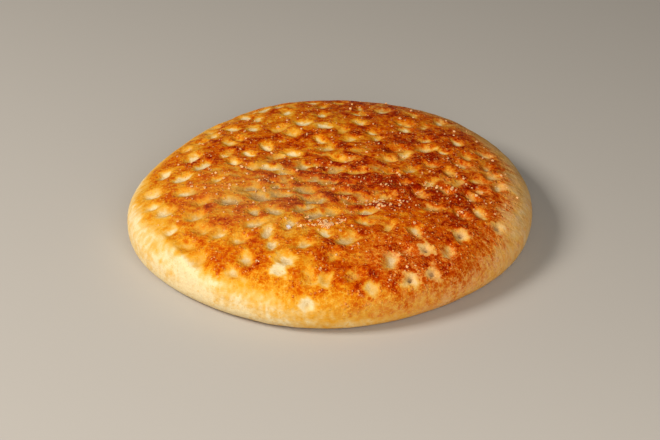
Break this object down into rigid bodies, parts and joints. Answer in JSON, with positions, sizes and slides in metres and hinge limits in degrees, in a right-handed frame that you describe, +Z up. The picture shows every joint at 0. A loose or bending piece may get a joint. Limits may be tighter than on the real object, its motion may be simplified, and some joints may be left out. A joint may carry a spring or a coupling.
{
  "type": "focaccia",
  "caption": "Whole round focaccia, a flat domed loaf with fingertip dimples all over its browned top and a smooth pale side.",
  "frame": {"origin": "on the surface that the loaf lies on, at the middle of its outline", "axes": "+Z up through the crust; -Y is the front of the loaf and +X its right"},
  "size_m": [0.233, 0.2316, 0.0388],
  "materials": {
    "crust": "baked bread crust: golden to red-brown on top with a thin sheen of oil, pale cream in the dimples and on the side"
  },
  "bodies": {
    "root": {"focaccia": "crust"}
  },
  "joints": []
}
